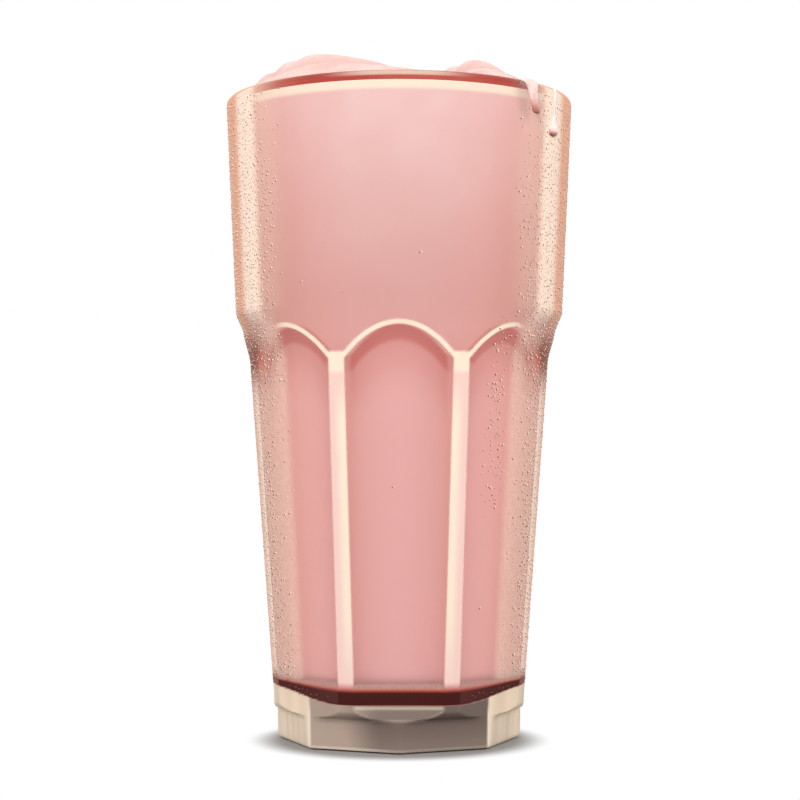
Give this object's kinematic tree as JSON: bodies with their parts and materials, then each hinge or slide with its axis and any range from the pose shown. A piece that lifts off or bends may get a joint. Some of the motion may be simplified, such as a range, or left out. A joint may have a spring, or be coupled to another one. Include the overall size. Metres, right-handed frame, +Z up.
{
  "type": "strawberry milkshake in a fluted tumbler",
  "caption": "Tall fluted glass tumbler on a faceted foot, full of pink strawberry milkshake with froth mounded above the rim.",
  "frame": {"origin": "centre of the foot, on the surface it stands on", "axes": "+Z up the axis of the glass; one flute faces -Y"},
  "size_m": [0.087, 0.087, 0.1716],
  "materials": {
    "clear_glass": "gloss",
    "milkshake": "satin",
    "froth": "satin"
  },
  "bodies": {
    "root": {"glass": "clear_glass", "milkshake": "milkshake", "froth_left": "froth", "froth_right": "froth"}
  },
  "joints": []
}
